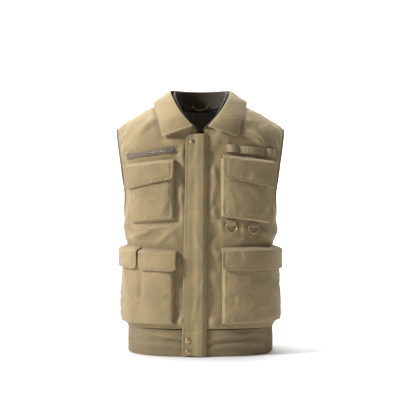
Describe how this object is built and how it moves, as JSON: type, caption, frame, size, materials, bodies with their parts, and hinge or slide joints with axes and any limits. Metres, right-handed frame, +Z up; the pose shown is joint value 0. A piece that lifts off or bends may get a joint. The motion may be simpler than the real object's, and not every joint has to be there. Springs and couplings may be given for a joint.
{
  "type": "fishing vest",
  "caption": "Padded khaki fishing vest with storm flap over the zip, turned-down collar, flapped patch pockets, chest zip pocket, tool loops and D-rings, shown as worn.",
  "frame": {"origin": "on the surface it stands on, under the middle of the vest", "axes": "+Z up, -Y out of the wearer's chest, +X towards the wearer's left hand"},
  "size_m": [0.4488, 0.2962, 0.6846],
  "materials": {
    "khaki_twill": "brushed cotton twill, matt, top-stitched",
    "quilted_lining": "dark quilted polyester taffeta",
    "pocket_lining": "thin matt pocketing",
    "zip_tape": "woven tape with moulded teeth",
    "antique_brass": "aged, satin",
    "nickel": "bright nickel plate, lightly worn",
    "hook_and_loop": "hook and loop tape",
    "webbing": "flat woven webbing",
    "binding": "folded twill binding",
    "elastic_rib": "twill gathered on elastic"
  },
  "bodies": {
    "vest": {"shell_front_right": "khaki_twill", "shell_front_left": "khaki_twill", "shell_back": "khaki_twill", "quilted_lining_front_right": "quilted_lining", "quilted_lining_front_left": "quilted_lining", "quilted_lining_back": "quilted_lining", "chest_zip_bag": "pocket_lining", "waistband_front_right": "khaki_twill", "side_elastic_right": "elastic_rib", "waistband_front_left": "khaki_twill", "side_elastic_left": "elastic_rib", "waistband_back": "khaki_twill", "collar_stand": "khaki_twill", "collar_leaf": "khaki_twill", "hanger_loop": "webbing", "armhole_binding_right": "binding", "armhole_binding_left": "binding", "zip_tape_right": "zip_tape", "zip_tape_left": "zip_tape", "underfly": "khaki_twill", "snap_stud_top": "antique_brass", "snap_stud_waist": "antique_brass", "snap_stud_hem": "antique_brass", "chest_zip_tape": "zip_tape", "chest_pocket_right": "khaki_twill", "loop_patch_chest_right": "hook_and_loop", "chest_pocket_left": "khaki_twill", "loop_patch_chest_left": "hook_and_loop", "lower_pocket_right": "khaki_twill", "loop_patch_lower_right": "hook_and_loop", "lower_pocket_left": "khaki_twill", "loop_patch_lower_left": "hook_and_loop", "tool_loops": "webbing", "ring_tab_inner": "webbing", "ring_tab_outer": "webbing"},
    "chest_flap_right": {"chest_flap_right": "khaki_twill", "hook_patch_chest_right": "hook_and_loop"},
    "chest_flap_left": {"chest_flap_left": "khaki_twill", "hook_patch_chest_left": "hook_and_loop"},
    "lower_flap_right": {"lower_flap_right": "khaki_twill", "hook_patch_lower_right": "hook_and_loop"},
    "side_flap_right": {"side_flap_right": "khaki_twill"},
    "lower_flap_left": {"lower_flap_left": "khaki_twill", "hook_patch_lower_left": "hook_and_loop"},
    "d_ring_inner": {"d_ring_inner": "antique_brass"},
    "d_ring_outer": {"d_ring_outer": "antique_brass"},
    "storm_flap": {"storm_flap": "khaki_twill", "snap_cap_top": "antique_brass", "snap_cap_waist": "antique_brass", "snap_cap_hem": "antique_brass"},
    "main_zip_slider": {"main_zip_slider": "nickel"},
    "main_zip_pull": {"main_zip_pull": "nickel"},
    "chest_zip_slider": {"chest_zip_slider": "nickel"},
    "chest_zip_pull": {"chest_zip_pull": "nickel"}
  },
  "joints": [
    {"name": "chest_flap_right_hinge", "type": "hinge", "parent": "vest", "child": "chest_flap_right", "pos_m": [-0.13375, -0.08849, 0.4916], "axis": [-0.9605, 0.2658, -0.0821], "range_deg": [0, 85]},
    {"name": "chest_flap_left_hinge", "type": "hinge", "parent": "vest", "child": "chest_flap_left", "pos_m": [0.12982, -0.08905, 0.50096], "axis": [-0.9641, -0.2463, 0.099], "range_deg": [0, 60]},
    {"name": "lower_flap_right_hinge", "type": "hinge", "parent": "vest", "child": "lower_flap_right", "pos_m": [-0.10801, -0.10573, 0.26942], "axis": [-0.9514, 0.301, 0.0652], "range_deg": [0, 90]},
    {"name": "side_flap_right_hinge", "type": "hinge", "parent": "vest", "child": "side_flap_right", "pos_m": [-0.17812, -0.0554, 0.27543], "axis": [-0.5197, 0.8523, 0.0591], "range_deg": [0, 85]},
    {"name": "lower_flap_left_hinge", "type": "hinge", "parent": "vest", "child": "lower_flap_left", "pos_m": [0.14927, -0.08573, 0.27424], "axis": [-0.8106, -0.5852, -0.0215], "range_deg": [0, 70]},
    {"name": "d_ring_inner_swing", "type": "hinge", "parent": "vest", "child": "d_ring_inner", "pos_m": [0.0789, -0.11075, 0.32925], "axis": [-0.9883, -0.1527, 0], "range_deg": [0, 95]},
    {"name": "d_ring_outer_swing", "type": "hinge", "parent": "vest", "child": "d_ring_outer", "pos_m": [0.13509, -0.095, 0.32608], "axis": [-0.9099, -0.4148, 0], "range_deg": [0, 95]},
    {"name": "storm_flap_hinge", "type": "hinge", "parent": "vest", "child": "storm_flap", "pos_m": [0.01601, -0.13834, 0.00219], "axis": [0.0054, 0.0748, 0.9972], "range_deg": [0, 125]},
    {"name": "main_zip_slide", "type": "slide", "parent": "vest", "child": "main_zip_slider", "axis": [0, -0.0748, -0.9972], "range_m": [0, 0.53]},
    {"name": "main_zip_pull_tilt", "type": "hinge", "parent": "main_zip_slider", "child": "main_zip_pull", "pos_m": [0, -0.09992, 0.54999], "axis": [-1, 0, 0], "range_deg": [0, 5]},
    {"name": "chest_zip_slide", "type": "hinge", "parent": "vest", "child": "chest_zip_slider", "pos_m": [-0.06366, 0.15002, 0.5102], "axis": [0.1253, -0.0413, -0.9913], "range_deg": [0, 25]},
    {"name": "chest_zip_pull_tilt", "type": "hinge", "parent": "chest_zip_slider", "child": "chest_zip_pull", "pos_m": [-0.0844, -0.10359, 0.51814], "axis": [0.1253, -0.0413, -0.9913], "range_deg": [0, 40]}
  ]
}
